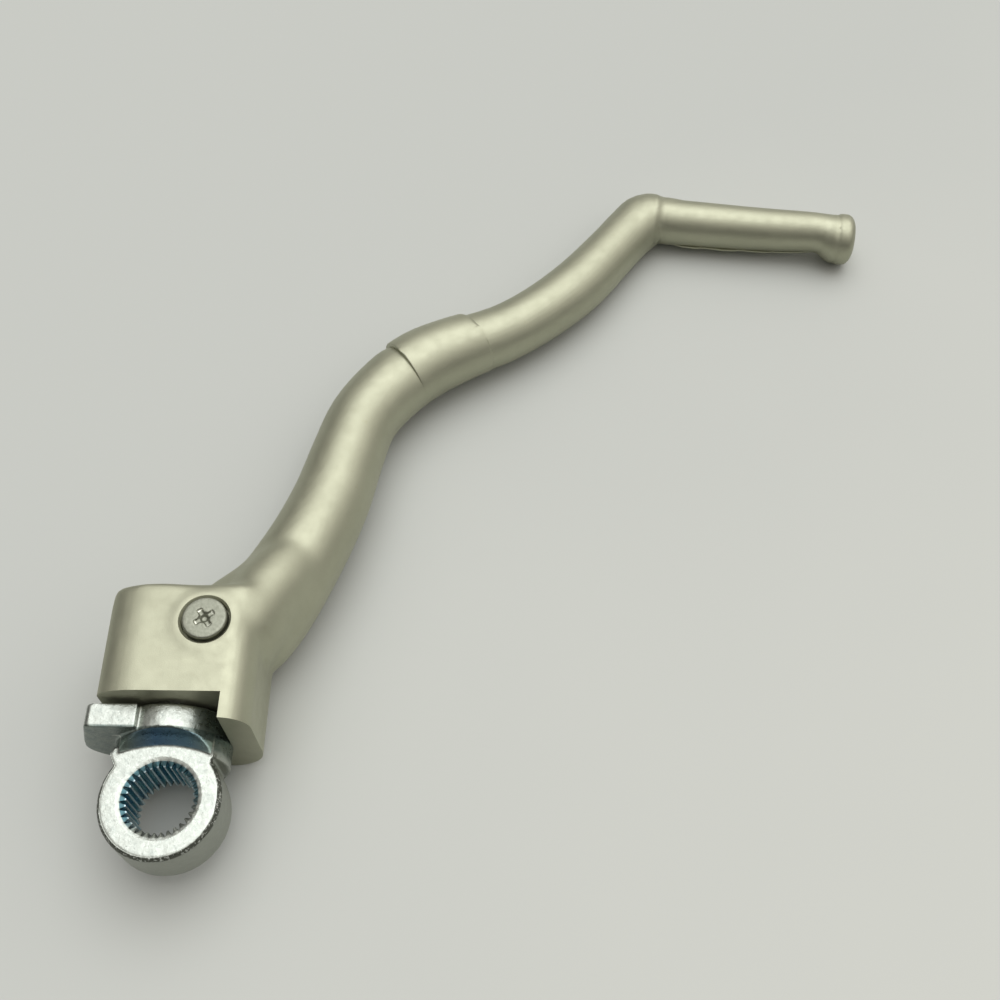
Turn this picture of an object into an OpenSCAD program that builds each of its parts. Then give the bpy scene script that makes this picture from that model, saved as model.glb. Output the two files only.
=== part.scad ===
// Folding kick start lever.
// The splined boss lies flat: its bore runs along Z and the origin is the bore's centre.
// The folding stem runs along +Y into the lever's head, and the foot peg points to +X.

/* [Splined boss] */
// Number of teeth in the serrated bore
tooth_count = 32; // [24:1:36]
// Diameter across the tooth tips of the bore
tooth_tip_d = 17; // [16:0.1:18]
// Diameter across the tooth roots of the bore
tooth_root_d = 20; // [19:0.1:21]
// Outside diameter of the boss
boss_d = 31.6; // [29:0.2:34]
// Thickness of the boss along the bore
boss_t = 17.5; // [15:0.5:20]
// Depth of the lead-in cone at each end of the bore
lead_in = 1.2; // [0.6:0.1:1.6]
// Rounding of the boss's outer edges
boss_edge = 0.8; // [0.3:0.1:1.5]

/* [Flange and stem] */
// Diameter of the neck and shoulder flange
flange_d = 30; // [27:0.2:32]
// Distance from the bore's axis to the flange's rear face
flange_y = 23.2; // [22.6:0.1:23.2]
// Thickness of the flange at its crown
flange_t = 6.4; // [5:0.1:7]
// Diameter of the stem that the lever folds on
stem_d = 16; // [14:0.1:16]
// Length of the stem behind the flange
stem_len = 25.8; // [24.6:0.1:26]
// Reach of the stop lug from the stem's axis
lug_reach = 24; // [22:0.5:25]
// Radial play between the stem and its bore
stem_play = 0.03; // [0.02:0.01:0.08]

/* [Lever head] */
// Height of the head above the stem's axis
head_top = 21.5; // [21:0.5:24]
// Depth of the head below the stem's axis
head_drop = 16; // [15.6:0.1:18]
// Left side of the head, from the stem's axis
head_left = 18.2; // [16.5:0.1:19]
// Right side of the head, from the stem's axis
head_right = 22.4; // [21.8:0.2:26]
// Distance from the bore's axis to the notch wall
notch_y = 24; // [23.6:0.1:24.2]
// Distance from the bore's axis to the back of the head
head_back_y = 56; // [54:0.5:58]
// Length of the stop skirt in front of the notch wall
skirt_len = 7; // [4:0.2:7.4]

/* [Retaining screw] */
// Sideways offset of the screw from the stem's axis
screw_x = 8.5; // [8.5:0.1:9]
// Distance from the bore's axis to the screw
screw_y = 43.9; // [42:0.1:44.5]
// Thread diameter of the screw
screw_d = 6; // [6:0.1:6.4]
// Diameter of the screw's plain tip
tip_d = 5; // [4.6:0.1:5]
// Diameter of the screw's head
screw_head_d = 12; // [11:0.1:13]
// Diameter of the counterbore around the screw's head
counterbore_d = 13.8; // [13.4:0.1:15]
// Depth of the counterbore
counterbore_t = 3.2; // [2:0.1:4]

/* [Detent] */
// Diameter of the detent ball
ball_d = 4; // [3.6:0.1:4.4]
// Radius at which the ball sits from the stem's axis
ball_r = 11.5; // [11:0.1:12]
// Travel of the ball into its pockets
ball_travel = 0.7; // [0.4:0.1:0.9]

/* [Shank and peg] */
// Distance from the bore's axis to the elbow, along the stem
arm_reach = 212.5; // [190:0.5:240]
// Distance from the stem's axis to the elbow
arm_spread = 135; // [120:0.5:150]
// Thickening of the shank's half width along its whole length
shank_grow = 0; // [-0.5:0.1:0.5]
// How far the raised band stands above the shank
band_h = 0.6; // [0.2:0.1:1]
// Diameter of the foot peg where it leaves the elbow
peg_root_d = 15.6; // [14:0.1:16.4]
// Diameter of the foot peg in front of its end collar
peg_tip_d = 13.8; // [12:0.1:15]
// Diameter of the foot peg's end collar
collar_d = 17.2; // [16:0.1:17.4]
// Length of the foot peg from the elbow's centre
peg_len = 72; // [60:1:80]
// Turn of the foot peg towards the boss, in degrees
peg_turn = 6; // [0:0.5:10]

/* [Hidden] */
$fn = 48;

stem_r = stem_d / 2;
bore_r = stem_r + stem_play;
peg_z = -head_drop + collar_d / 2;
elbow = [arm_spread, arm_reach, peg_z];

// groove for the screw's tip, clear of the tip by 0.1 all round
groove_r = screw_x - tip_d / 2 - 0.1;
groove_w = tip_d + 0.2;

// seal gland
gland_y = 29.5;
gland_w = 2.2;
gland_r = stem_r - 1.5;

// ball at track level, riding on the flange's rear face
ball_y = flange_y + ball_d / 2 + 0.03;
ball_at = [-ball_r * cos(45), ball_y, -ball_r * sin(45)];
ball_hole_r = ball_d / 2 + 0.05;
spring_y0 = ball_y + ball_d / 2 - 0.02;
spring_y1 = 38.5;

// Control stations of the shank, for a reach of 212.5 and a spread of 135,
// from inside the head to the start of the peg: [x, y, z, half width, half height]
stations = [
    [14, 44, 0, 9, 9],
    [18, 54, 0, 15, 15],
    [23.5, 64, 0, 13, 13],
    [30, 78.5, 0, 12.1, 12],
    [35, 94, -1, 11.6, 11.4],
    [38.5, 109.5, -1.5, 11.1, 11],
    [42.5, 124, -2.2, 10.9, 10.6],
    [50.5, 136.5, -3, 11.2, 10.6],
    [59.5, 145.5, -3.5, 11.4, 10.6],
    [71, 152.5, -4, 10.6, 10.2],
    [84.5, 159.5, -5, 9.5, 9.4],
    [97.5, 169, -5.5, 9.4, 9.2],
    [110.5, 182, -6.2, 9.5, 9.1],
    [122, 197.5, -7, 9, 8.8],
    [129, 207, peg_z, 9.2, 8.6],
    [134.3, 212, peg_z, 9.8, 8.6],
    [141, 212.8, peg_z, 8.1, 8],
    [149, 211.4, peg_z, 7.2, 7.2]
];
last = len(stations) - 1;

// the shank keeps its place in the head and stretches towards the elbow
head_out = 54;
function stretch(s) =
    s[1] <= head_out ? s
    : [18 + (s[0] - 18) * (arm_spread - 18) / 117,
       head_out + (s[1] - head_out) * (arm_reach - head_out) / 158.5, s[2], s[3], s[4]];

// smooth curve through the stations, u from 0 to last
function station(i) = stretch(stations[max(0, min(last, i))]);
function spline(a, b, c, d, t) =
    0.5 * (2 * b + (c - a) * t + (2 * a - 5 * b + 4 * c - d) * t * t
           + (3 * b - a - 3 * c + d) * t * t * t);
function along(u) =
    let (i = min(last - 1, floor(u)))
    spline(station(i - 1), station(i), station(i + 1), station(i + 2), u - i);
function unit(v) = v / norm(v);
function place(v) = [v[0], v[1], v[2]];
function heading(u) =
    unit(place(along(min(last, u + 0.02))) - place(along(max(0, u - 0.02))));

// cross section of the shank at u, as a ring of sides points
sides = 24;
function ring(u, grow) =
    let (s = along(u), d = heading(u),
         side = unit([d[1], -d[0], 0]), up = cross(side, d))
    [for (k = [0 : sides - 1])
        place(s) + side * (s[3] + shank_grow + grow) * cos(360 * k / sides)
                 + up * (s[4] + shank_grow + grow) * sin(360 * k / sides)];

// swept solid between two places along the shank
module sweep(u0, u1, steps, grow) {
    pts = [for (j = [0 : steps]) each ring(u0 + (u1 - u0) * j / steps, grow)];
    walls = [for (j = [0 : steps - 1], k = [0 : sides - 1])
        let (a = j * sides + k, b = j * sides + (k + 1) % sides)
        each [[a, b, b + sides], [a, b + sides, a + sides]]];
    first = [for (k = [0 : sides - 1]) sides - 1 - k];
    end = [for (k = [0 : sides - 1]) steps * sides + k];
    polyhedron(points = pts, faces = concat([first], walls, [end]), convexity = 6);
}

// round bar along +Y that starts at a point
module bar(x, y, z, r, len) {
    translate([x, y, z]) rotate([-90, 0, 0]) cylinder(h = len, r = r);
}

// rectangle with one radius on its left corners, rt at the top right and rb below it
module soft_rect(x0, x1, z0, z1, rl, rt, rb) {
    mid = x1 - max(rt, rb);
    translate([x0 + rl, z0]) square([mid - x0 - rl, z1 - z0]);
    translate([x0, z0 + rl]) square([mid - x0, z1 - z0 - 2 * rl]);
    translate([mid - 1, z0 + rb]) square([x1 - rt - mid + 1, z1 - z0 - rb]);
    translate([mid - 1, z0 + rb]) square([x1 - mid + 1, z1 - z0 - rt - rb]);
    for (z = [z0 + rl, z1 - rl]) translate([x0 + rl, z]) circle(rl);
    translate([x1 - rt, z1 - rt]) circle(rt);
    translate([x1 - rb, z0 + rb]) circle(rb);
}

module head_block() {
    // section across the stem, run along Y, and cut to the plan shape
    front = notch_y - skirt_len;
    intersection() {
        translate([0, head_back_y, 0]) rotate([90, 0, 0])
            linear_extrude(head_back_y - front)
                soft_rect(-head_left, head_right, -head_drop, head_top, 6.5, 7.5, 11.5);
        translate([0, 0, -50]) linear_extrude(100) {
            polygon([[-head_left + 0.8, front - 1], [head_right + 1, front - 1],
                     [head_right + 1, head_back_y], [-head_left + 7, head_back_y],
                     [-head_left, head_back_y - 7]]);
            translate([-head_left + 7, head_back_y - 7]) circle(7);
        }
    }
}

// space in front of the notch wall that the flange and the lug turn in
module notch() {
    translate([-40, notch_y - 30, -40]) cube([47, 30, 80]);
    translate([-1, notch_y - 30, 0]) cube([flange_d / 2 + 1.05, 30, 40]);
    bar(0, notch_y - 30, 0, flange_d / 2 + 0.05, 30);
}

module foot_peg() {
    // turned bar along its own axis, with a flared end collar
    translate(elbow) rotate([0, 0, -peg_turn]) rotate([0, 90, 0])
        rotate_extrude()
            polygon([[0, 9], [peg_root_d / 2, 9], [peg_root_d / 2 - 0.1, 20],
                     [peg_tip_d / 2 + 0.35, peg_len - 28], [peg_tip_d / 2, peg_len - 16],
                     [peg_tip_d / 2 + 0.5, peg_len - 10], [collar_d / 2 - 0.4, peg_len - 5.5],
                     [collar_d / 2, peg_len - 4.6], [collar_d / 2, peg_len - 3.2],
                     [collar_d / 2 - 0.8, peg_len - 1.6], [collar_d / 2 - 2.6, peg_len - 0.4],
                     [collar_d / 2 - 5, peg_len], [0, peg_len]]);
}

module kick_arm() {
    color([0.78, 0.78, 0.68]) difference() {
        union() {
            difference() {
                head_block();
                notch();
            }
            difference() {
                sweep(0, last, 54, 0);
                translate([0, notch_y - 40, 0]) cube([120, 80, 120], center = true);
            }
            sweep(7.35, 9.45, 10, band_h);
            foot_peg();
        }
        // stem bore
        bar(0, notch_y - 1, 0, bore_r, flange_y + stem_len + 0.5 - notch_y + 1);
        // counterbore, tapped hole and tip hole of the screw
        translate([screw_x, screw_y, head_top - counterbore_t])
            cylinder(h = 20, d = counterbore_d);
        translate([screw_x, screw_y, 7]) cylinder(h = 20, r = screw_d / 2 + 0.01);
        translate([screw_x, screw_y, -9]) cylinder(h = 18, r = tip_d / 2 + 0.05);
        // blind hole of the detent
        bar(ball_at[0], notch_y - 1, ball_at[2], ball_hole_r, spring_y1 - notch_y + 1);
    }
}

// toothed outline of the bore
function toothed(n, r_tip, r_root) =
    [for (k = [0 : n - 1], p = [[0.09, r_tip], [0.41, r_root], [0.59, r_root], [0.91, r_tip]])
        let (a = 360 * (k + p[0]) / n) [p[1] * cos(a), p[1] * sin(a)]];

module boss() {
    rotate_extrude() {
        square_h = boss_t / 2 - boss_edge;
        translate([0, -boss_t / 2]) square([boss_d / 2 - boss_edge, boss_t]);
        translate([0, -square_h]) square([boss_d / 2, 2 * square_h]);
        for (s = [-1, 1]) translate([boss_d / 2 - boss_edge, s * square_h]) circle(boss_edge);
    }
}

// concave scoop between the boss's face and the flange's crown
module scoop() {
    crown = flange_y - flange_t + 18;
    translate([0, -18, 0]) rotate_extrude() {
        translate([0, boss_t / 2]) square([crown - 3.2, 25]);
        translate([crown - 8.1, boss_t / 2 + 6.45]) circle(8.1);
        translate([0, boss_t / 2 + 6.45]) square([crown, 25]);
    }
}

// shoulders that carry the boss's faces out to the neck, a hair below the faces
module shoulders() {
    translate([0, 0, 0.05 - boss_t / 2]) linear_extrude(boss_t - 0.1)
        polygon([[-13, 8.6], [-14.2, 11.3], [-13.6, 12.6], [12, 12.6], [12, 9.8]]);
}

module lug() {
    // stop lug: its flat top meets the head's notch wall when the lever is folded out
    front = flange_y - flange_t - 0.4;
    r = lug_reach;
    translate([0, flange_y - 0.3, 0]) rotate([90, 0, 0])
        linear_extrude(flange_y - 0.3 - front)
            polygon([[-7, flange_d / 2 - 3], [-8.8, flange_d / 2], [4.6 - r, flange_d / 2], [3.6 - r, flange_d / 2 - 0.7],
                     [0.7 - r, 3.5], [-r, 0], [0.4 - r, -2.6], [3.4 - r, -6.6],
                     [7 - r, -9.4], [-6, -11]]);
}

// tip groove, seal gland and end chamfer are turned on the stem
module stem() {
    end = flange_y + stem_len;
    rotate([-90, 0, 0]) rotate_extrude()
        polygon([[0, flange_y - 4], [stem_r, flange_y - 4],
                 [stem_r, gland_y - gland_w / 2], [gland_r, gland_y - gland_w / 2],
                 [gland_r, gland_y + gland_w / 2], [stem_r, gland_y + gland_w / 2],
                 [stem_r, screw_y - groove_w / 2], [groove_r, screw_y - groove_w / 2],
                 [groove_r, screw_y + groove_w / 2], [stem_r, screw_y + groove_w / 2],
                 [stem_r, end - 0.6], [stem_r - 0.6, end], [0, end]]);
}

module splined_knuckle() {
    color([0.62, 0.68, 0.68]) difference() {
        union() {
            difference() {
                union() {
                    boss();
                    shoulders();
                    bar(0, 11, 0, flange_d / 2, flange_y - 11);
                }
                scoop();
                mirror([0, 0, 1]) scoop();
            }
            lug();
            stem();
        }
        translate([0, 0, -boss_t]) linear_extrude(2 * boss_t)
            polygon(toothed(tooth_count, tooth_tip_d / 2, tooth_root_d / 2));
        // lead-in cone on each face of the bore
        for (s = [0, 180]) rotate([s, 0, 0]) translate([0, 0, boss_t / 2 - lead_in])
            cylinder(h = 2 * lead_in, r1 = tooth_tip_d / 2, r2 = tooth_tip_d / 2 + 4.6);
        // detent pockets for the folded lever and for the lever folded out
        for (a = [0, 90]) rotate([0, -a, 0])
            translate([ball_at[0], ball_y - ball_travel, ball_at[2]])
                sphere(ball_d / 2 + 0.06);
    }
}

module retaining_screw() {
    // pan head screw with a plain tip that runs in the stem's groove
    floor_z = head_top - counterbore_t;
    color([0.74, 0.75, 0.7]) translate([screw_x, screw_y, 0]) difference() {
        rotate_extrude()
            polygon([[0, -8], [tip_d / 2 - 0.5, -8], [tip_d / 2, -7.5], [tip_d / 2, 8],
                     [screw_d / 2, 8.6], [screw_d / 2, floor_z], [screw_head_d / 2, floor_z],
                     [screw_head_d / 2, floor_z + 2.6], [screw_head_d / 2 - 0.4, floor_z + 3.3],
                     [screw_head_d / 2 - 1.2, floor_z + 3.8], [screw_head_d / 2 - 2.6, floor_z + 4.1],
                     [0, floor_z + 4.3]]);
        for (a = [45, 135]) rotate([0, 0, a])
            translate([-3.3, -0.7, floor_z + 1.8]) cube([6.6, 1.4, 6]);
        translate([0, 0, floor_z + 1.8]) cylinder(h = 6, r1 = 1.1, r2 = 2.6);
    }
}

module stem_seal() {
    // rubber ring in the stem's gland, drawn as fitted
    color([0.1, 0.1, 0.1]) translate([0, gland_y, 0]) rotate([-90, 0, 0])
        rotate_extrude() translate([gland_r + 0.02, -0.9])
            square([stem_r - gland_r - 0.02, 1.8]);
}

module detent_ball() {
    color([0.8, 0.8, 0.82]) translate(ball_at) sphere(d = ball_d);
}

module detent_spring() {
    // wire coil between the ball and the bottom of its hole
    wire = 0.5;
    coil_r = ball_d / 2 - 0.35;
    turns = 7;
    n = 12 * turns;
    lift = (spring_y1 - spring_y0 - wire) / n;
    pts = [for (j = [0 : n], k = [0 : 5])
        let (a = 30 * j, b = 60 * k, r = coil_r + wire / 2 * cos(b))
        [r * cos(a), j * lift + wire / 2 * sin(b), r * sin(a)]];
    walls = [for (j = [0 : n - 1], k = [0 : 5])
        let (p = 6 * j + k, q = 6 * j + (k + 1) % 6)
        each [[p, q + 6, q], [p, p + 6, q + 6]]];
    color([0.5, 0.5, 0.52])
        translate([ball_at[0], spring_y0 + wire / 2, ball_at[2]])
            polyhedron(points = pts, faces = concat([[0, 1, 2, 3, 4, 5]], walls,
                [[for (k = [5 : -1 : 0]) 6 * n + k]]), convexity = 10);
}

kick_arm();
splined_knuckle();
retaining_screw();
stem_seal();
detent_ball();
detent_spring();
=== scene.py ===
# Folding kick start lever, lying folded on a pale table.
import math

import bpy
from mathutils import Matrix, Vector


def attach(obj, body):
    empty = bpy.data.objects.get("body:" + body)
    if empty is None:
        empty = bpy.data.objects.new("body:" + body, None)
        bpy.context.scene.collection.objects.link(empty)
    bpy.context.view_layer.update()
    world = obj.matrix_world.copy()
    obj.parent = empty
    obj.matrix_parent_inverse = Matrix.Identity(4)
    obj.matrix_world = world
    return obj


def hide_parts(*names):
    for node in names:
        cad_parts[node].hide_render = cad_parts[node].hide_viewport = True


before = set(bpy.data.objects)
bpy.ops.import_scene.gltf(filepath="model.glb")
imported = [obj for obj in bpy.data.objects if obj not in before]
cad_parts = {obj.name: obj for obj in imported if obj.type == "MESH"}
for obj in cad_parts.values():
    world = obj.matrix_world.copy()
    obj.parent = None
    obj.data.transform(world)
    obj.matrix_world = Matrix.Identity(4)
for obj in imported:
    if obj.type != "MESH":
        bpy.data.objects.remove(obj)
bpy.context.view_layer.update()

# sizes in millimetres
MM = 0.001
TABLE = -16
HEAD_TOP = 21.5
HEAD_LEFT, HEAD_RIGHT = -18.2, 22.4
HEAD_BACK, HEAD_BACK_LEFT = 55.3, 54.4
NOTCH_WALL, SKIRT_END = 24, 17
FLANGE_ROOM = 15.05
PEG_Z = -7.4
SCREW_AT = (8.5, 43.9)
SCREW_HEAD_AT = (SCREW_AT[0] - 0.17, SCREW_AT[1] + 0.27)
SCREW_SEAT = HEAD_TOP - 3.2
BOSS_RADIUS, BOSS_HALF = 15.8, 8.75
TEETH, TOOTH_TIP, TOOTH_ROOT = 32, 8.5, 10
LUG_REACH = 24
HOLLOW_Y, HOLLOW_RADIUS = -18, 34.8
DETENT = 8.13


# ---------------------------------------------------------------- bench tools


def nothing_selected():
    if bpy.context.object and bpy.context.object.mode != "OBJECT":
        bpy.ops.object.mode_set(mode="OBJECT")
    bpy.ops.object.select_all(action="DESELECT")


def take(obj):
    nothing_selected()
    obj.select_set(True)
    bpy.context.view_layer.objects.active = obj


def settle(name):
    """Names the active object and moves its place into its mesh."""
    bpy.ops.object.transform_apply(location=True, rotation=True, scale=True)
    bpy.context.object.name = name
    return bpy.context.object


def apply_all(obj):
    take(obj)
    for mod in list(obj.modifiers):
        bpy.ops.object.modifier_apply(modifier=mod.name)


def block(name, low, high):
    nothing_selected()
    low, high = Vector(low), Vector(high)
    bpy.ops.mesh.primitive_cube_add(size=1, location=(low + high) / 2 * MM, scale=(high - low) * MM)
    return settle(name)


def plate(name, outline, axis, low, high):
    """An outline extruded along Z, or for the axis Y an outline of (x, z) points along Y."""
    nothing_selected()
    bpy.ops.mesh.primitive_circle_add(vertices=len(outline), radius=MM, fill_type="NGON")
    obj = bpy.context.object
    for vert, (u, v) in zip(obj.data.vertices, outline):
        vert.co = (u * MM, v * MM, low * MM) if axis == "Z" else (u * MM, low * MM, v * MM)
    bpy.ops.object.mode_set(mode="EDIT")
    bpy.ops.mesh.select_all(action="SELECT")
    move = (0, 0, (high - low) * MM) if axis == "Z" else (0, (high - low) * MM, 0)
    bpy.ops.mesh.extrude_region_move(TRANSFORM_OT_translate={"value": move})
    bpy.ops.mesh.select_all(action="SELECT")
    bpy.ops.mesh.normals_make_consistent(inside=False)
    bpy.ops.object.mode_set(mode="OBJECT")
    return settle(name)


def rod(name, start, axis, radius, length, sides=96, radius2=None):
    """A cylinder, or a cone, that starts at a point and runs along an axis."""
    nothing_selected()
    turn = Vector((0, 0, 1)).rotation_difference(Vector(axis)).to_euler()
    mid = (Vector(start) + Vector(axis).normalized() * length / 2) * MM
    bpy.ops.mesh.primitive_cone_add(
        vertices=sides, radius1=radius * MM, radius2=(radius if radius2 is None else radius2) * MM,
        depth=length * MM, location=mid, rotation=turn)
    return settle(name)


def turned(name, profile, axis_turn, place, steps=96):
    """A profile of (radius, height) points spun about Z, then turned and placed."""
    nothing_selected()
    bpy.ops.mesh.primitive_plane_add(size=1, location=(0, 0, 0))
    obj = bpy.context.object
    bpy.ops.object.mode_set(mode="EDIT")
    bpy.ops.mesh.select_all(action="SELECT")
    bpy.ops.mesh.delete(type="VERT")
    bpy.ops.object.mode_set(mode="OBJECT")
    mesh = obj.data
    mesh.vertices.add(len(profile))
    for vert, (r, h) in zip(mesh.vertices, profile):
        vert.co = (r * MM, 0, h * MM)
    mesh.edges.add(len(profile) - 1)
    for i, edge in enumerate(mesh.edges):
        edge.vertices = (i, i + 1)
    bpy.ops.object.mode_set(mode="EDIT")
    bpy.ops.mesh.select_all(action="SELECT")
    bpy.ops.mesh.spin(steps=steps, angle=2 * math.pi, center=(0, 0, 0), axis=(0, 0, 1))
    bpy.ops.mesh.select_all(action="SELECT")
    bpy.ops.mesh.remove_doubles(threshold=1e-6)
    bpy.ops.mesh.normals_make_consistent(inside=False)
    bpy.ops.object.mode_set(mode="OBJECT")
    obj.rotation_euler = [math.radians(a) for a in axis_turn]
    obj.location = Vector(place) * MM
    return settle(name)


def cut(obj, tool, operation="DIFFERENCE", solver="EXACT"):
    take(obj)
    mod = obj.modifiers.new("cut", "BOOLEAN")
    mod.operation, mod.solver, mod.object = operation, solver, tool
    bpy.ops.object.modifier_apply(modifier=mod.name)
    bpy.data.objects.remove(tool)


def weld(obj, *others):
    take(obj)
    for other in others:
        other.select_set(True)
    bpy.ops.object.join()


def recast(obj, grain, passes):
    """Voxel remesh, then an even smoothing, as a forging's skin."""
    take(obj)
    mod = obj.modifiers.new("skin", "REMESH")
    mod.mode, mod.voxel_size, mod.adaptivity = "VOXEL", grain * MM, 0
    bpy.ops.object.modifier_apply(modifier=mod.name)
    mod = obj.modifiers.new("even", "SMOOTH")
    mod.factor, mod.iterations = 0.5, passes
    bpy.ops.object.modifier_apply(modifier=mod.name)


def soften(obj, weight, passes):
    """Smooths only where weight(point in mm) is above nothing."""
    take(obj)
    group = obj.vertex_groups.new(name="soft")
    for vert in obj.data.vertices:
        w = weight(vert.co / MM)
        if w > 0:
            group.add([vert.index], min(1, w), "REPLACE")
    mod = obj.modifiers.new("soften", "SMOOTH")
    mod.vertex_group, mod.factor, mod.iterations = group.name, 0.5, passes
    bpy.ops.object.modifier_apply(modifier=mod.name)
    obj.vertex_groups.clear()


def press(obj, depth, weight):
    """Pushes the skin inwards, or outwards for a depth below nothing, where weight(point) says."""
    take(obj)
    group = obj.vertex_groups.new(name="press")
    for vert in obj.data.vertices:
        w = weight(vert.co / MM)
        if w > 0.001:
            group.add([vert.index], min(1, w), "REPLACE")
    mod = obj.modifiers.new("press", "DISPLACE")
    mod.vertex_group, mod.strength, mod.mid_level = group.name, -depth * MM, 0
    bpy.ops.object.modifier_apply(modifier=mod.name)
    obj.vertex_groups.clear()


def trim(obj, point, normal):
    """Cuts away what lies beyond a plane, and closes the cut."""
    take(obj)
    bpy.ops.object.mode_set(mode="EDIT")
    bpy.ops.mesh.select_all(action="SELECT")
    bpy.ops.mesh.bisect(plane_co=Vector(point) * MM, plane_no=normal, use_fill=True, clear_outer=True)
    bpy.ops.object.mode_set(mode="OBJECT")


def round_edges(obj, chosen, offset, segments):
    """Bevels the edges whose two ends satisfy chosen(point in mm)."""
    take(obj)
    bpy.ops.object.mode_set(mode="EDIT")
    bpy.ops.mesh.select_mode(type="EDGE")
    bpy.ops.mesh.select_all(action="DESELECT")
    bpy.ops.object.mode_set(mode="OBJECT")
    for edge in obj.data.edges:
        a, b = (obj.data.vertices[i].co / MM for i in edge.vertices)
        edge.select = bool(chosen(a, b))
    bpy.ops.object.mode_set(mode="EDIT")
    bpy.ops.mesh.bevel(offset=offset * MM, segments=segments, affect="EDGES")
    bpy.ops.object.mode_set(mode="OBJECT")


def smooth_shade(obj, angle=None):
    take(obj)
    if angle:
        bpy.ops.object.shade_smooth_by_angle(angle=math.radians(angle))
    else:
        bpy.ops.object.shade_smooth()


# ---------------------------------------------------------------- camera

bpy.ops.object.camera_add(location=(0.0877, -0.0942, 0.3193),
                          rotation=(math.radians(30.5), 0, math.radians(0.8)))
camera = bpy.context.object
camera.data.lens, camera.data.sensor_width = 45, 36
camera.data.clip_start = 0.01
bpy.context.scene.camera = camera

# ---------------------------------------------------------------- lever arm

# stations along the shank: x, y, z, half width, half height
SHANK = [
    (13, 41, 0, 9, 9), (16, 48, 0, 12, 12.5), (19, 56, 0, 13.6, 13.6),
    (24, 65, 0, 12.9, 12.8), (30, 78.5, 0, 12.1, 12),
    (35, 94, -1, 11.6, 11.4), (38.5, 109.5, -1.5, 11.1, 11), (42.5, 124, -2.2, 10.9, 10.6),
    (50.5, 136.5, -3, 11.2, 10.6), (59.5, 145.5, -3.5, 11.4, 10.6), (71, 152.5, -4, 10.6, 10.2),
    (84.5, 159.5, -5, 9.5, 9.4), (97.5, 169, -5.5, 9.4, 9.2), (110.5, 182, -6.2, 9.5, 9.1),
    (122, 197.5, -7, 9, 8.8), (129, 207, PEG_Z, 9.2, 8.6), (134.3, 212, PEG_Z, 9.8, 8.6),
    (141, 212.6, PEG_Z, 7.8, 7.8), (149, 211.4, PEG_Z, 7.2, 7.2),
]
# the ridge that carries the head's top down on to the shank
SADDLE = [(14, 42, 7, 10.4, 13.8), (17.5, 50, 6.6, 11, 13.8), (21, 58, 5, 11, 13), (25.5, 67, 3, 10.4, 12),
          (30.5, 78, -1, 9, 10.6)]
# and the web that fills the corner behind the head
WEB = [(6, 49, 6, 9, 10.5), (11, 56.5, 4.5, 7.5, 9.5), (17, 63, 2.5, 7.3, 9.8), (23, 71, 1, 7.5, 10)]
ELBOW = Vector((135, 212.5, PEG_Z))
PEG_TURN = 6


def curve_through(stations, steps):
    """Points on a smooth curve through the stations."""
    out = []
    last = len(stations) - 1
    for i in range(last):
        a, b, c, d = (stations[min(last, max(0, j))] for j in (i - 1, i, i + 1, i + 2))
        for k in range(steps + (i == last - 1)):
            t = k / steps
            out.append([0.5 * (2 * q + (r - p) * t + (2 * p - 5 * q + 4 * r - s) * t * t
                               + (3 * q - p - 3 * r + s) * t ** 3)
                        for p, q, r, s in zip(a, b, c, d)])
    return out


def drawn_bar(name, sections, sides=40):
    """A bar drawn out ring by ring: each ring is extruded, turned to its heading and sized."""
    def heading(i):
        a, b = sections[max(0, i - 1)], sections[min(len(sections) - 1, i + 1)]
        return math.atan2(b[0] - a[0], b[1] - a[1])

    nothing_selected()
    x, y, z, w, h = sections[0]
    bpy.ops.mesh.primitive_circle_add(vertices=sides, radius=MM, fill_type="NGON",
                                      location=(x * MM, y * MM, z * MM),
                                      rotation=(math.pi / 2, 0, -heading(0)))
    settle(name)
    bpy.ops.object.mode_set(mode="EDIT")
    bpy.ops.mesh.select_mode(type="FACE")
    bpy.ops.mesh.select_all(action="SELECT")
    bpy.ops.transform.resize(value=(w, w, h), center_override=(x * MM, y * MM, z * MM))
    for i in range(1, len(sections)):
        before, now = sections[i - 1], sections[i]
        at = tuple(v * MM for v in now[:3])
        move = tuple((n - b) * MM for n, b in zip(now[:3], before[:3]))
        bpy.ops.mesh.extrude_region_move(TRANSFORM_OT_translate={"value": move})
        bpy.ops.transform.rotate(value=heading(i) - heading(i - 1), orient_axis="Z",
                                 center_override=at)
        grow = (now[3] / before[3], now[3] / before[3], now[4] / before[4])
        bpy.ops.transform.resize(value=grow, center_override=at)
    bpy.ops.mesh.select_all(action="SELECT")
    bpy.ops.mesh.normals_make_consistent(inside=False)
    bpy.ops.object.mode_set(mode="OBJECT")
    return bpy.context.object


def corner(x, z, radius, first, steps=8, tall=1):
    """Points on a rounded corner, from the angle first over a quarter turn; tall stretches it in z."""
    turns = [math.radians(first + 90 * i / steps) for i in range(steps + 1)]
    return [(x + radius * math.cos(t), z + radius * tall * math.sin(t)) for t in turns]


def head_forging():
    across = (corner(HEAD_RIGHT - 7.5, HEAD_TOP - 7.5, 7.5, 0)
              + corner(HEAD_LEFT + 11, HEAD_TOP - 6, 11, 90, 12, 6 / 11)
              + corner(HEAD_LEFT + 6.5, TABLE + 6.5, 6.5, 180)
              + corner(HEAD_RIGHT - 11.5, TABLE + 11.5, 11.5, 270))
    head = plate("lever_arm", across, "Y", SKIRT_END - 4, HEAD_BACK)
    # seen from above, the back leans forward towards the left
    plan = [(-17.4, 10), (23, 10), (23, HEAD_BACK), (9, HEAD_BACK)]
    plan += corner(HEAD_LEFT + 3, HEAD_BACK_LEFT - 3, 3, 90)
    cut(head, plate("plan", plan, "Z", -30, 30), "INTERSECT")
    return head


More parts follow.
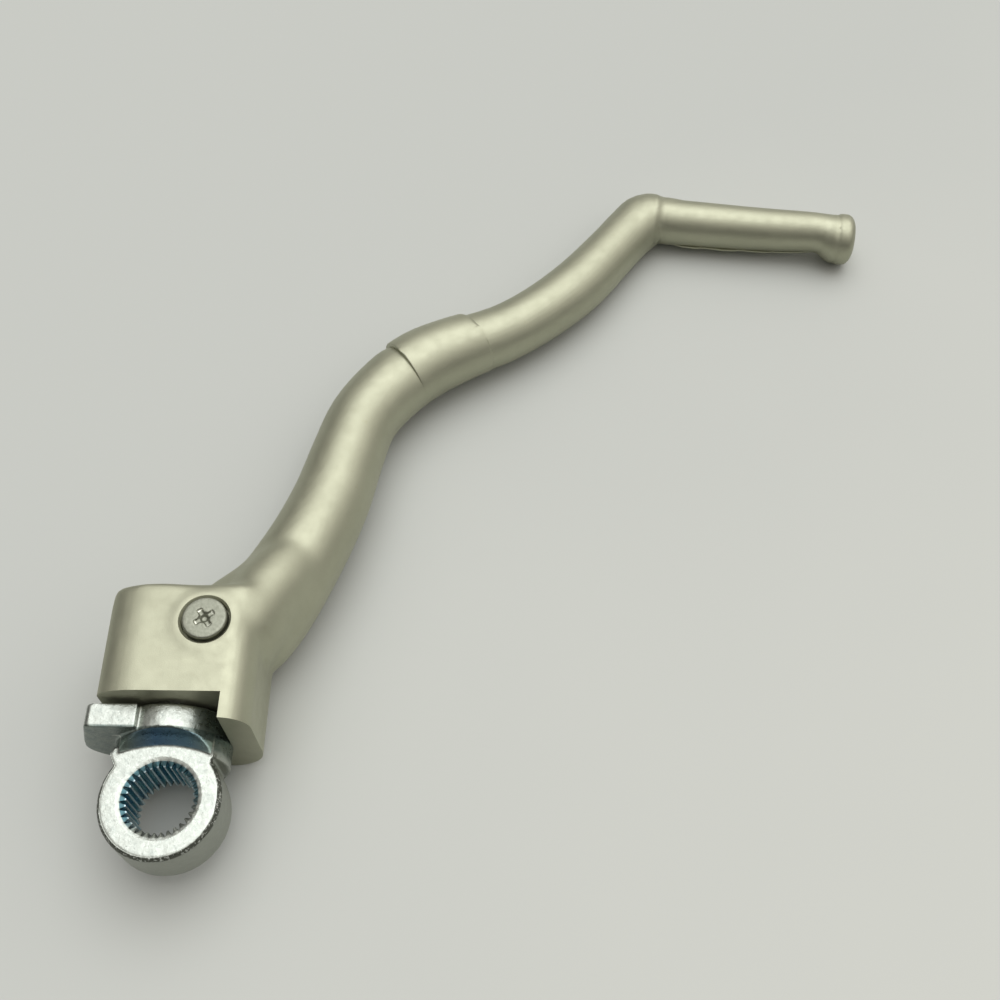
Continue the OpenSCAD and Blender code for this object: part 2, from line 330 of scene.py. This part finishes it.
def notch(head):
    """The notch for the flange and the lug, with the skirt left at its right."""
    cut(head, block("front", (-60, -6, -60), (60, SKIRT_END, 60)))
    cut(head, block("notch", (-60, -6, -60), (7, NOTCH_WALL, 60)))
    cut(head, block("right", (-1, -6, 0), (FLANGE_ROOM, NOTCH_WALL, 60)))
    cut(head, rod("round", (0, -6, 0), (0, 1, 0), FLANGE_ROOM, 30))


def foot_peg():
    """Rings along the peg: place, radius, shift sideways and up. The collar's lip hangs to one side."""
    rings = [(-3, 6, 0, 0), (0, 8.2, 0, 0.2), (2.6, 8.5, 0, 0.4), (4, 8.1, 0, 0.3), (5.6, 7.9, 0, 0.1),
             (8.1, 7.85, 0, 0), (11, 7.75, 0, 0), (20, 7.65, 0, 0), (34, 7.4, 0, 0.15), (44, 7.15, 0, 0.5),
             (52, 6.9, 0, 1), (57, 6.7, 0, 1.25), (60, 6.85, -0.2, 1), (62.5, 7.6, -0.7, 0.4),
             (64, 8.2, -1, 0.1), (65.2, 8.45, -1.05, 0), (67, 8.6, -1.05, 0), (68.2, 8.55, -1.05, 0),
             (69.2, 8.15, -1.05, 0), (70, 7.3, -1.05, 0), (70.5, 6.2, -1.05, 0), (70.7, 4.8, -1.05, 0)]
    turn = math.radians(PEG_TURN)
    return drawn_bar("peg", [(ELBOW.x + u * math.cos(turn) + side * math.sin(turn),
                              ELBOW.y - u * math.sin(turn) + side * math.cos(turn), PEG_Z + up, r, r)
                             for u, r, side, up in rings], 64)


def peg_flash():
    """The thin fin that the dies left along the foot peg's near side."""
    edge = [(9.5, 6.3), (13, 7), (18, 7.2), (19.5, 6.75), (24, 6.8), (26, 7), (31, 6.75), (32.5, 6.3),
            (38, 6.35), (43, 6.05), (44, 5.7), (48, 5.45), (53, 4.85), (58, 4), (58, 3), (9.5, 3)]
    fin = plate("flash", [(u, -v) for u, v in edge], "Z", -4.7, -4.1)
    round_edges(fin, lambda a, b: abs(a.z - b.z) < 0.01, 0.12, 2)
    fin.rotation_euler[2] = math.radians(-PEG_TURN)
    fin.location = ELBOW * MM
    take(fin)
    return settle("flash")


# the band lies between two planes that face along the middle of the shank
BAND_FACING = Vector((0.8, 0.6, 0))
BAND_FROM, BAND_TO = 128.3, 155.2


def band_place(p):
    return p.dot(BAND_FACING)


def lower_shank(head, curve):
    weld(head, drawn_bar("shank", curve[:40]), drawn_bar("saddle", curve_through(SADDLE, 3)),
         drawn_bar("web", curve_through(WEB, 3)))
    recast(head, 0.7, 2)
    # the forging flows from the head into the shank, and the head's back edge is eased
    soften(head, lambda p: min(1, 1.7 - abs(p.y - 59) / 11) * min(1, max(0, (p.x + 3) / 9)), 80)
    soften(head, lambda p: min(1, (p.y - 48) / 4) * min(1, max(0, (6 - p.x) / 9)) if p.y < 60 else 0, 18)
    # the skin rises a little round the counterbore
    press(head, -0.3, lambda p: max(0, 1 - abs(math.dist(p.xy, SCREW_AT) - 7.6) / 2.6) if p.z > 18 else 0)
    recast(head, 0.62, 2)
    notch(head)
    trim(head, BAND_FACING * (BAND_FROM + 1.5), BAND_FACING)

    # its end is domed where it meets the band, most of all on top
    def dome(p):
        side = min(1, max(0, 0.27 + 0.05 * (p.z + 3) + 0.05 * (0.8 * p.y - 0.6 * p.x - 79.9)))
        return side * max(0, (band_place(p) - BAND_FROM + 6) / 6) ** 2

    press(head, 0.7, dome)
    return head


def shank_band(curve):
    band = drawn_bar("band", [(x - 0.18, y + 0.24, z + 0.12, w + 0.2, h + 0.32)
                              for x, y, z, w, h in curve[30:47]], 64)
    trim(band, BAND_FACING * BAND_TO, BAND_FACING)
    trim(band, BAND_FACING * BAND_FROM, -BAND_FACING)

    def rim(place):
        return lambda a, b: abs(band_place(a) - place) < 0.01 and abs(band_place(b) - place) < 0.01

    round_edges(band, rim(BAND_TO), 1.5, 5)
    round_edges(band, rim(BAND_FROM), 0.5, 3)
    return band


def upper_shank(curve):
    upper = drawn_bar("upper", curve[40:])
    weld(upper, foot_peg())
    recast(upper, 0.56, 2)
    along_peg = Vector((math.cos(math.radians(PEG_TURN)), -math.sin(math.radians(PEG_TURN)), 0))

    def peg_place(p):
        return (p - ELBOW).dot(along_peg)

    soften(upper, lambda p: 1 - abs(peg_place(p) - 0.5) / 5 if p.y > 198 else 0, 16)
    # the elbow swells a little before a soft crease at the peg's root
    press(upper, -0.25, lambda p: (max(0, 1 - ((peg_place(p) - 0.5) / 4) ** 2)
                                   * min(1, max(0, (p.y - 200) / 8)) * min(1, max(0, (p.z + 12) / 4))))
    press(upper, 0.2, lambda p: max(0, 1 - ((peg_place(p) - 4.4) / 2) ** 2))
    press(upper, 0.3, lambda p: max(0, 1 - abs(peg_place(p) - 64.8) / 0.7))
    # and it narrows under the band's end
    press(upper, 0.3, lambda p: min(1, max(0, 1 - (band_place(p) - BAND_TO) / 7)) if p.x < 110 else 0)
    cut(upper, peg_flash(), "UNION")
    return upper


def lever_arm():
    curve = curve_through(SHANK, 4)
    arm = lower_shank(head_forging(), curve)
    cut(arm, shank_band(curve), "UNION")
    cut(arm, upper_shank(curve), "UNION")

    # holes, cut last so that they stay true
    cut(arm, rod("stem_bore", (0, 20, 0), (0, 1, 0), 8.03, 29.5), solver="FAST")
    wall = [(0, 0), (6.35, 0), (6.35, 2.75), (6.85, 3.25), (7.1, 3.6), (7.6, 4.2), (7.6, 9), (0, 9)]
    sink = turned("sink", wall, (0, 0, 0), (*SCREW_AT, SCREW_SEAT))
    cut(arm, sink)
    cut(arm, rod("tapped", (*SCREW_AT, 7), (0, 0, 1), 3.01, 12), solver="FAST")
    cut(arm, rod("tip_hole", (*SCREW_AT, -9), (0, 0, 1), 2.55, 18, 48), solver="FAST")
    cut(arm, rod("detent_hole", (-DETENT, 20, -DETENT), (0, 1, 0), 2.05, 18.5, 48), solver="FAST")
    smooth_shade(arm, 40)
    return arm


arm = lever_arm()

# ---------------------------------------------------------------- splined knuckle


def scoop(name, up):
    """The cutter of the round hollow between the boss's face and the flange."""
    fillet = 8.1
    arc = [(HOLLOW_RADIUS - fillet + fillet * math.cos(t), BOSS_HALF + 6.45 + fillet * math.sin(t))
           for t in [math.radians(a) for a in range(-52, 1, 6)] + [0]]
    profile = [(0, BOSS_HALF)] + [(r, max(BOSS_HALF, z)) for r, z in arc] + [(HOLLOW_RADIUS, 40), (0, 40)]
    return turned(name, profile, (0 if up else 180, 0, 0), (0, HOLLOW_Y, 0), 96)


def toothed_cutter():
    """A thin plate with the bore's teeth round its edge, drawn out through the boss."""
    nothing_selected()
    bpy.ops.mesh.primitive_circle_add(vertices=TEETH * 8, radius=MM, fill_type="NGON",
                                      location=(0, 0, -0.02))
    obj = settle("teeth")
    shape = [TOOTH_TIP, TOOTH_TIP, 9.1, 9.85, TOOTH_ROOT, 9.85, 9.1, TOOTH_TIP]
    for vert in obj.data.vertices:
        a = math.atan2(vert.co.y, vert.co.x) % (2 * math.pi)
        k = round(a / (2 * math.pi) * TEETH * 8)
        r = shape[k % 8] * MM
        vert.co.x, vert.co.y = r * math.cos(a), r * math.sin(a)
    take(obj)
    bpy.ops.object.mode_set(mode="EDIT")
    bpy.ops.mesh.select_all(action="SELECT")
    bpy.ops.mesh.extrude_region_move(TRANSFORM_OT_translate={"value": (0, 0, 0.04)})
    bpy.ops.mesh.select_all(action="SELECT")
    bpy.ops.mesh.normals_make_consistent(inside=False)
    bpy.ops.object.mode_set(mode="OBJECT")
    return obj


def splined_knuckle():
    rim = [(14.7, BOSS_HALF), (14.95, 8.68), (15.15, 8.5), (15.6, 7.9), (15.75, 7.65), (BOSS_RADIUS, 7.4)]
    foot = [(BOSS_RADIUS, -5), (15.72, -6.3), (15.45, -7.4), (14.9, -8.35), (14.2, -BOSS_HALF)]
    profile = [(0, BOSS_HALF)] + rim + foot + [(0, -BOSS_HALF)]
    knuckle = turned("knuckle", profile, (0, 0, 0), (0, 0, 0), 128)
    neck = rod("neck", (0, 11, 0), (0, 1, 0), 15, 12.2, 128)
    round_edges(neck, lambda a, b: a.y > 23 and b.y > 23 and a.xz.length > 14, 0.5, 3)
    cut(neck, plate("shoulders", [(-13, 8.6), (-14.4, 11.3), (-13.6, 13.4), (12, 13.4), (12, 9.8)],
                    "Z", -BOSS_HALF, BOSS_HALF), "UNION")
    cut(knuckle, neck, "UNION")
    cut(knuckle, scoop("scoop", True))
    cut(knuckle, scoop("scoop", False))
    r = LUG_REACH
    lug = plate("lug", [(-7.3, 15), (4.6 - r, 15), (3.7 - r, 14.6), (3.2 - r, 13.6), (0.6 - r, 3.5), (-r, 0),
                        (0.2 - r, -2), (1 - r, -4), (3.4 - r, -6.8), (7 - r, -9.4), (-7.3, -11)],
                "Y", 16.4, 22.9)
    round_edges(lug, lambda a, b: abs(a.y - b.y) < 0.1 and a.x < -7.4 and b.x < -7.4, 0.6, 3)
    cut(knuckle, lug, "UNION")
    recast(knuckle, 0.34, 4)
    cut(knuckle, toothed_cutter())
    for s in (1, -1):
        cut(knuckle, rod("lead_in", (0, 0, s * 7.55), (0, 0, s), TOOTH_TIP, 2.4, 96, 13.1))
        # a pocket for the ball at either end of the fold
        nothing_selected()
        bpy.ops.mesh.primitive_uv_sphere_add(segments=48, ring_count=24, radius=2.08 * MM,
                                             location=(s * DETENT * MM, 24.48 * MM, -DETENT * MM))
        cut(knuckle, settle("pocket"))
    smooth_shade(knuckle, 35)
    stem_profile = [(0, 19), (8, 19), (8, 28.4), (6.5, 28.4), (6.5, 30.6), (8, 30.6), (8, 41.3),
                    (5.9, 41.3), (5.9, 46.5), (8, 46.5), (8, 48.4), (7.4, 49), (0, 49)]
    stem = turned("knuckle_stem", stem_profile, (-90, 0, 0), (0, 0, 0), 64)
    smooth_shade(stem, 35)
    return knuckle, stem


knuckle, stem = splined_knuckle()

# ---------------------------------------------------------------- screw


def retaining_screw():
    """The screw, its head a little to one side of the counterbore."""
    z = SCREW_SEAT
    top = [(3, z), (5.7, z), (6, z + 0.3), (6, z + 3.2), (5.93, z + 3.5), (5.78, z + 3.72), (5.55, z + 3.84),
           (5, z + 3.9), (3, z + 3.94), (0, z + 3.95)]
    head = turned("screw_head", [(0, z)] + top, (0, 0, 0), (*SCREW_HEAD_AT, 0), 96)
    for a in (35, 125):
        slot = block("slot", (-2.8, -0.65, z + 3.3), (2.8, 0.65, z + 8))
        slot.rotation_euler[2] = math.radians(a)
        slot.location = (SCREW_HEAD_AT[0] * MM, SCREW_HEAD_AT[1] * MM, 0)
        take(slot)
        settle("slot")
        cut(head, slot)
    cut(head, rod("point", (*SCREW_HEAD_AT, z + 2.6), (0, 0, 1), 0.7, 4, 32, 3.4))
    # worn by its driver: every edge of the recess is dragged round
    recast(head, 0.17, 9)
    profile = [(0, -8), (2, -8), (2.5, -7.5), (2.5, 8), (3, 8.6), (3, z + 0.5), (0, z + 0.5)]
    screw = turned("cross_screw", profile, (0, 0, 0), (*SCREW_AT, 0), 64)
    smooth_shade(screw, 30)
    smooth_shade(head)
    weld(screw, head)
    return screw


screw = retaining_screw()

# ---------------------------------------------------------------- finishes


class Finish:
    """A surface finish, its patterns laid out in millimetres over the piece."""

    def __init__(self, name, colour, metallic, roughness):
        self.mat = bpy.data.materials.new(name)
        self.mat.use_nodes = True
        self.tree = self.mat.node_tree
        self.shader = self.tree.nodes["Principled BSDF"]
        self.set("Base Color", (*colour, 1))
        self.set("Metallic", metallic)
        self.set("Roughness", roughness)
        self.relief = None
        spot = self.node("ShaderNodeTexCoord")
        scale = self.node("ShaderNodeMapping")
        scale.inputs["Scale"].default_value = (1000, 1000, 1000)
        self.link(spot.outputs["Object"], scale.inputs["Vector"])
        self.mm = scale.outputs["Vector"]

    def node(self, kind):
        return self.tree.nodes.new(kind)

    def link(self, out, into):
        self.tree.links.new(out, into)

    def set(self, socket, value):
        self.shader.inputs[socket].default_value = value

    def wire(self, out, socket):
        self.link(out, self.shader.inputs[socket])

    def noise(self, scale, detail=2.0, rough=0.5, warp=0.0):
        node = self.node("ShaderNodeTexNoise")
        node.inputs["Scale"].default_value = scale
        node.inputs["Detail"].default_value = detail
        node.inputs["Roughness"].default_value = rough
        node.inputs["Distortion"].default_value = warp
        self.link(self.mm, node.inputs["Vector"])
        return node.outputs["Fac"]

    def steps(self, value, *stops):
        """A ramp of (place, grey or colour) stops."""
        node = self.node("ShaderNodeValToRGB")
        ramp = node.color_ramp
        while len(ramp.elements) < len(stops):
            ramp.elements.new(0.5)
        for element, (place, shade) in zip(ramp.elements, stops):
            element.position = place
            element.color = (*shade, 1) if isinstance(shade, tuple) else (shade, shade, shade, 1)
        self.link(value, node.inputs["Fac"])
        return node.outputs["Color"]

    def sum(self, kind, a, b):
        node = self.node("ShaderNodeMath")
        node.operation = kind
        for value, into in zip((a, b), node.inputs):
            if isinstance(value, (int, float)):
                into.default_value = value
            else:
                self.link(value, into)
        return node.outputs["Value"]

    def between(self, part, first, second, how="MIX"):
        node = self.node("ShaderNodeMix")
        node.data_type, node.blend_type = "RGBA", how
        for value, into in ((part, node.inputs[0]), (first, node.inputs[6]), (second, node.inputs[7])):
            if isinstance(value, tuple):
                into.default_value = (*value, 1)
            elif isinstance(value, (int, float)):
                into.default_value = value
            else:
                self.link(value, into)
        return node.outputs[2]

    def part_of(self, axis):
        """The distance along one axis, in millimetres."""
        node = self.node("ShaderNodeSeparateXYZ")
        self.link(self.mm, node.inputs[0])
        return node.outputs[axis]

    def away_from(self, x, y):
        """The distance from an upright line through (x, y)."""
        flat = self.node("ShaderNodeMapping")
        flat.inputs["Scale"].default_value = (1, 1, 0)
        self.link(self.mm, flat.inputs["Vector"])
        node = self.node("ShaderNodeVectorMath")
        node.operation = "DISTANCE"
        node.inputs[1].default_value = (x, y, 0)
        self.link(flat.outputs["Vector"], node.inputs[0])
        return node.outputs["Value"]

    def below(self, value, edge, soft=0.1):
        """One where the value is under the edge, nothing where it is over it."""
        node = self.node("ShaderNodeMapRange")
        node.interpolation_type = "SMOOTHSTEP"
        ends = {"From Min": edge - soft, "From Max": edge + soft, "To Min": 1, "To Max": 0}
        for name, number in ends.items():
            node.inputs[name].default_value = number
        self.link(value, node.inputs["Value"])
        return node.outputs["Result"]

    def raise_by(self, height, depth):
        """Adds relief whose height runs over depth millimetres."""
        node = self.node("ShaderNodeBump")
        node.inputs["Strength"].default_value = 1
        node.inputs["Distance"].default_value = depth * MM
        self.link(height, node.inputs["Height"])
        if self.relief:
            self.link(self.relief, node.inputs["Normal"])
        self.relief = node.outputs["Normal"]
        self.wire(self.relief, "Normal")


def coat(obj, finish):
    obj.data.materials.clear()
    obj.data.materials.append(finish.mat)


def blasted_aluminium():
    f = Finish("blasted_aluminium", (0.42, 0.423, 0.316), 0.9, 0.45)
    cloud = f.noise(0.05, 3)
    tone = f.steps(cloud, (0.3, (0.395, 0.398, 0.297)), (0.7, (0.445, 0.448, 0.336)))
    fine = f.noise(4.5, 2, 0.6)
    tone = f.between(f.steps(fine, (0.35, 0.0), (0.75, 0.2)), tone, (0.31, 0.312, 0.24))
    stains = f.steps(f.noise(0.35, 4, 0.6), (0.66, 0.0), (0.8, 0.35))
    tone = f.between(stains, tone, (0.37, 0.35, 0.24))
    f.wire(tone, "Base Color")
    f.wire(f.steps(f.noise(0.3, 3, 0.6), (0.3, 0.4), (0.7, 0.5)), "Roughness")
    f.raise_by(f.noise(0.12, 2), 0.1)
    f.raise_by(fine, 0.03)
    return f


def zinc_plate():
    f = Finish("zinc_plate", (0.7, 0.73, 0.69), 1.0, 0.3)
    patch = f.noise(0.55, 4, 0.65, warp=0.6)
    tone = f.steps(patch, (0.3, (0.36, 0.39, 0.36)), (0.5, (0.46, 0.485, 0.445)))
    specks = f.steps(f.noise(1.3, 5, 0.7, warp=0.8), (0.6, 0.0), (0.68, 0.7))
    tone = f.between(specks, tone, (0.2, 0.22, 0.2))

    radius = f.away_from(0, 0)
    height = f.sum("ABSOLUTE", f.part_of("Z"), 0.0)
    across, along = f.part_of("X"), f.part_of("Y")
    near_boss = f.below(along, 11.5, 1.5)
    flat = f.sum("SUBTRACT", f.below(height, 9.0, 0.1), f.below(height, 8.6, 0.08))
    flat = f.sum("MULTIPLY", flat, f.below(f.sum("ABSOLUTE", across, 0.0), 14.6, 0.1))
    worked = f.sum("SUBTRACT", 1.0, flat)

    # duller and darker down the boss's side; over its hammered rim, painted shade with painted glints
    side = f.sum("MULTIPLY", f.sum("SUBTRACT", 1.0, f.below(radius, 14.8, 0.12)), near_boss)
    side = f.sum("MULTIPLY", side, worked)
    tone = f.between(f.sum("MULTIPLY", side, 0.75), tone, (0.3, 0.31, 0.265))
    rim = f.sum("MULTIPLY", side, f.sum("SUBTRACT", 1.0, f.below(height, 7.3, 0.3)))
    # painted shade and painted glints on the rim: a dark line flecked with bright spots
    painted_rim_shade_and_glints = f.steps(f.noise(1.6, 2, 0.6), (0.55, (0.07, 0.075, 0.06)), (0.64, (0.6, 0.62, 0.58)))
    tone = f.between(f.sum("MULTIPLY", rim, 0.85), tone, painted_rim_shade_and_glints)

    # the plating turns blue where it is thin: in the bore and in the hollow behind the ring
    hollow = f.sum("MULTIPLY", f.below(f.away_from(0, HOLLOW_Y), HOLLOW_RADIUS - 0.05, 0.12),
                   f.sum("SUBTRACT", 1.0, f.below(height, 9.1, 0.2)))
    place = f.sum("ADD", f.sum("MULTIPLY", across, 0.03), 0.5)
    blue = f.steps(place, (0.2, (0.26, 0.33, 0.29)), (0.42, (0.16, 0.32, 0.52)),
                   (0.68, (0.26, 0.46, 0.6)), (0.85, (0.45, 0.58, 0.52)))
    # painted shade on the lug's and the flange's forward faces
    front = f.sum("SUBTRACT", f.below(along, 17.1, 0.2), f.below(along, 12.5, 1))
    front = f.sum("MULTIPLY", f.sum("MULTIPLY", front, worked), 0.85)
    painted_front_shade = f.steps(f.noise(0.3, 3), (0.4, (0.11, 0.145, 0.135)), (0.65, (0.18, 0.21, 0.185)))
    tone = f.between(front, tone, painted_front_shade)
    tone = f.between(f.sum("MULTIPLY", hollow, 0.92), tone, blue)
    # painted shade down the flange's right side
    right_side = f.sum("SUBTRACT", 1.0, f.below(across, 7.5, 3))
    flange = f.sum("MULTIPLY", right_side, f.sum("SUBTRACT", 1.0, f.below(along, 15, 1)))
    tone = f.between(f.sum("MULTIPLY", flange, 0.7), tone, (0.13, 0.18, 0.18))
    # in the bore: blue teeth, darker at the mouth and greyer towards the front, with a painted highlight on
    # the tooth tips
    bore = f.below(radius, 9.95, 0.15)
    teeth = f.steps(f.noise(0.35, 2), (0.35, (0.16, 0.36, 0.52)), (0.6, (0.27, 0.56, 0.62)))
    mouth = f.sum("SUBTRACT", 1.0, f.below(height, 7.3, 0.15))
    teeth = f.between(mouth, teeth, (0.07, 0.14, 0.16))
    teeth = f.between(f.below(radius, 8.75, 0.2), teeth, (0.5, 0.62, 0.66))
    teeth = f.between(f.below(f.sum("ADD", along, f.sum("MULTIPLY", across, -0.4)), -4.5, 2.5), teeth,
                      (0.2, 0.215, 0.19))
    tone = f.between(bore, tone, teeth)
    f.wire(tone, "Base Color")
    rough = f.steps(f.noise(1.1, 3, 0.6), (0.3, 0.24), (0.7, 0.4))
    f.wire(f.between(f.sum("MULTIPLY", side, 0.6), rough, (0.5, 0.5, 0.5)), "Roughness")
    f.raise_by(f.noise(0.4, 3, 0.55), 0.14)
    f.raise_by(f.noise(2.4, 3, 0.6), 0.03)
    f.raise_by(f.sum("MULTIPLY", f.noise(1.3, 3, 0.6, warp=0.5), rim), 0.45)
    return f


def screw_plate():
    f = Finish("screw_plate", (0.28, 0.285, 0.23), 0.9, 0.42)
    tone = f.steps(f.noise(1.2, 3, 0.6), (0.3, (0.235, 0.243, 0.195)), (0.7, (0.3, 0.308, 0.25)))
    reach = f.away_from(*SCREW_HEAD_AT)
    # painted glints: the ends of the cross recess are painted bright
    painted_recess_glints = f.sum("SUBTRACT", f.below(reach, 3.3, 0.2), f.below(reach, 2.4, 0.2))
    painted_recess_glints = f.sum("MULTIPLY", painted_recess_glints, f.below(f.part_of("Z"), HEAD_TOP + 0.55, 0.08))
    f.wire(f.between(painted_recess_glints, tone, (0.85, 0.86, 0.76)), "Base Color")
    f.wire(f.steps(f.noise(2.5, 2), (0.3, 0.36), (0.7, 0.5)), "Roughness")
    f.raise_by(f.noise(1.6, 3, 0.6), 0.06)
    return f


def seal_rubber():
    f = Finish("seal_rubber", (0.02, 0.02, 0.02), 0.0, 0.6)
    f.wire(f.steps(f.noise(2, 2), (0.3, 0.5), (0.7, 0.7)), "Roughness")
    f.raise_by(f.noise(5, 2), 0.01)
    return f


def hidden_steel():
    f = Finish("hidden_steel", (0.6, 0.6, 0.62), 1.0, 0.3)
    f.wire(f.steps(f.noise(3, 2), (0.3, 0.22), (0.7, 0.36)), "Roughness")
    f.raise_by(f.noise(4, 2), 0.004)
    return f


zinc = zinc_plate()
steel = hidden_steel()
coat(arm, blasted_aluminium())
coat(knuckle, zinc)
coat(stem, steel)
coat(screw, screw_plate())
coat(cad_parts["stem_seal"], seal_rubber())
coat(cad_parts["detent_ball"], steel)
coat(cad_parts["detent_spring"], steel)

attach(arm, "lever")
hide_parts("kick_arm")
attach(knuckle, "knuckle")
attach(stem, "knuckle")
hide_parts("splined_knuckle")
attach(screw, "lever")
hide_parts("retaining_screw")

# ---------------------------------------------------------------- table and light

nothing_selected()
bpy.ops.mesh.primitive_plane_add(size=3, location=(0.1, 0.1, TABLE * MM))
table_top = bpy.context.object
table_top.name = "table_top"
table = Finish("pale_table", (0.68, 0.69, 0.65), 0.0, 0.9)
table.set("Specular IOR Level", 0.0)
# painted light on the table: lighter towards the front right and darker towards the back left, with large
# soft random blotches
painted_falloff_and_mottle = table.sum("MULTIPLY", table.sum("SUBTRACT", table.part_of("X"), table.part_of("Y")), 0.0012)
painted_falloff_and_mottle = table.sum("ADD", painted_falloff_and_mottle, table.sum("MULTIPLY", table.noise(0.008, 2), 0.25))
table.wire(table.steps(painted_falloff_and_mottle, (0.0, (0.545, 0.56, 0.535)), (0.5, (0.61, 0.62, 0.583))), "Base Color")
coat(table_top, table)

# a broad window high at the back, in a room that darkens away from it
nothing_selected()
bpy.ops.object.light_add(type="SUN", location=(-0.5, 0.4, 0.8))
window = bpy.context.object
window.name = "window"
window.rotation_euler = Vector((0.1, 0.33, 0.94)).to_track_quat("Z", "Y").to_euler()
window.data.energy, window.data.angle = 1.15, math.radians(60)
window.data.color = (0.94, 0.975, 1)

world = bpy.data.worlds.new("room")
bpy.context.scene.world = world
world.use_nodes = True
tree = world.node_tree
way = tree.nodes.new("ShaderNodeTexCoord")
facing = tree.nodes.new("ShaderNodeVectorMath")
facing.operation = "DOT_PRODUCT"
facing.inputs[1].default_value = Vector((0.24, 0.3, 0.92)).normalized()
walls = tree.nodes.new("ShaderNodeMapRange")
walls.interpolation_type = "SMOOTHSTEP"
walls.inputs["From Min"].default_value, walls.inputs["From Max"].default_value = 0.2, 0.98
walls.inputs["To Min"].default_value, walls.inputs["To Max"].default_value = 0.15, 1.2
tree.links.new(way.outputs["Generated"], facing.inputs[0])
tree.links.new(facing.outputs["Value"], walls.inputs["Value"])
tree.links.new(walls.outputs["Result"], tree.nodes["Background"].inputs["Strength"])
tree.nodes["Background"].inputs["Color"].default_value = (1, 0.97, 0.925, 1)

bpy.context.scene.view_settings.view_transform = "Standard"
